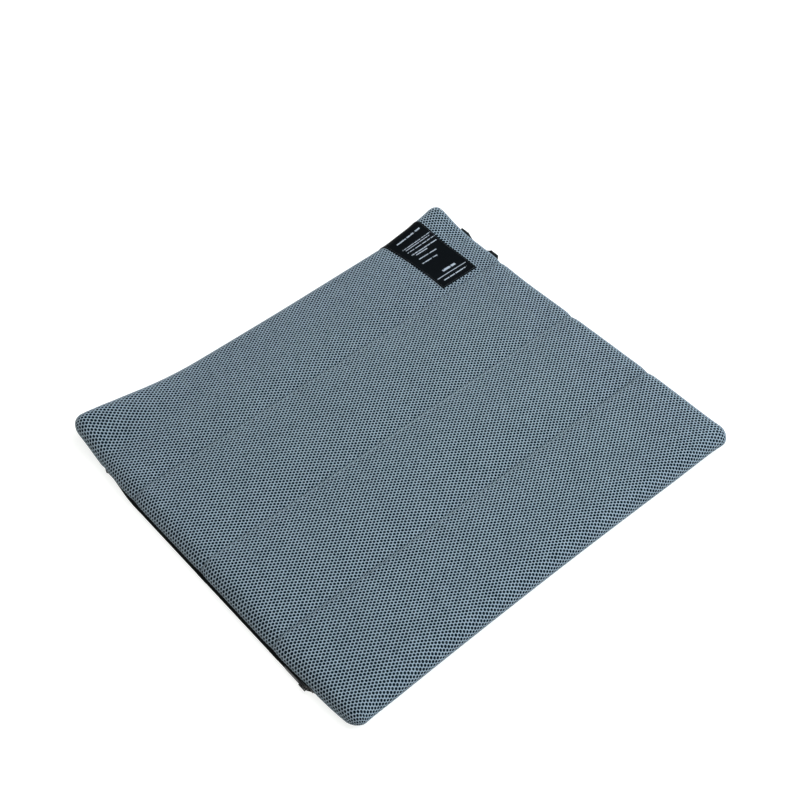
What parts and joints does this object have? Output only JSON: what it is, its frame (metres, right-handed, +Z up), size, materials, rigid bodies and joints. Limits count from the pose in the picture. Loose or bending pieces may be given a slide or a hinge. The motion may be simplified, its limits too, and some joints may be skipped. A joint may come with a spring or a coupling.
{
  "type": "kneeling pad",
  "caption": "Thin folding kneeling or seat pad: foam bars in sewn channels under a blue-grey spacer-mesh cover, with a black non-slip base, an edge zip, a side label and a hanging loop.",
  "frame": {"origin": "on the floor under the centre of the pad, with the base lying flat", "axes": "+Z up out of the mesh top; X across the channels, with the label on the -X edge; Y along the channels, with the zip on the -Y edge and the hanging loop on the +Y edge"},
  "size_m": [0.4, 0.4568, 0.0242],
  "materials": {
    "spacer_mesh": "blue-grey polyester spacer mesh with dark round holes",
    "foam": "grey closed-cell foam",
    "non_slip_base": "black knit with rubber grip dots",
    "thread": "dark polyester thread",
    "black_webbing": "black woven polyester tape",
    "zip_coil": "black nylon coil",
    "black_metal": "black enamelled zinc",
    "label_satin": "black satin with pale printed bars"
  },
  "bodies": {
    "panel_1": {"base_1": "non_slip_base", "mesh_cover_1": "spacer_mesh", "foam_core_1": "foam", "zip_tape_upper_1": "black_webbing", "zip_tape_lower_1": "black_webbing", "zip_coil_1": "zip_coil", "zip_stop_open": "black_metal", "care_label": "label_satin", "loop_anchor_left": "black_webbing", "loop_anchor_right": "black_webbing"},
    "panel_2": {"base_2": "non_slip_base", "mesh_cover_2": "spacer_mesh", "foam_core_2": "foam", "zip_tape_upper_2": "black_webbing", "zip_tape_lower_2": "black_webbing", "zip_coil_2": "zip_coil", "seam_tape_1": "non_slip_base", "stitch_row_1": "thread", "seam_tape_2": "non_slip_base", "stitch_row_2": "thread"},
    "panel_3": {"base_3": "non_slip_base", "mesh_cover_3": "spacer_mesh", "foam_core_3": "foam", "zip_tape_upper_3": "black_webbing", "zip_tape_lower_3": "black_webbing", "zip_coil_3": "zip_coil", "seam_tape_3": "non_slip_base", "stitch_row_3": "thread"},
    "panel_4": {"base_4": "non_slip_base", "mesh_cover_4": "spacer_mesh", "foam_core_4": "foam", "zip_tape_upper_4": "black_webbing", "zip_tape_lower_4": "black_webbing", "zip_coil_4": "zip_coil", "zip_stop_closed": "black_metal"},
    "zip_slider": {"zip_slider": "black_metal"},
    "pull_tab": {"zip_pull_tab": "black_metal"},
    "hanging_loop": {"hanging_loop": "black_webbing"}
  },
  "joints": [
    {"name": "fold_1", "type": "hinge", "parent": "panel_2", "child": "panel_1", "pos_m": [-0.1, 0, 0], "axis": [0, -1, 0], "range_deg": [0, 90]},
    {"name": "fold_2", "type": "hinge", "parent": "panel_2", "child": "panel_3", "pos_m": [0, 0, 0], "axis": [0, 1, 0], "range_deg": [0, 90]},
    {"name": "fold_3", "type": "hinge", "parent": "panel_3", "child": "panel_4", "pos_m": [0.1, 0, 0], "axis": [0, 1, 0], "range_deg": [0, 90]},
    {"name": "zip_slide", "type": "slide", "parent": "panel_4", "child": "zip_slider", "axis": [1, 0, 0], "range_m": [-0.281, 0]},
    {"name": "pull_tab_swing", "type": "hinge", "parent": "zip_slider", "child": "pull_tab", "pos_m": [0.141, -0.2277, 0.0051], "axis": [0, 0, 1], "range_deg": [0, 175]},
    {"name": "loop_swing", "type": "hinge", "parent": "panel_1", "child": "hanging_loop", "pos_m": [-0.136, 0.2264, 0.019], "axis": [1, 0, 0], "range_deg": [0, 150]}
  ]
}
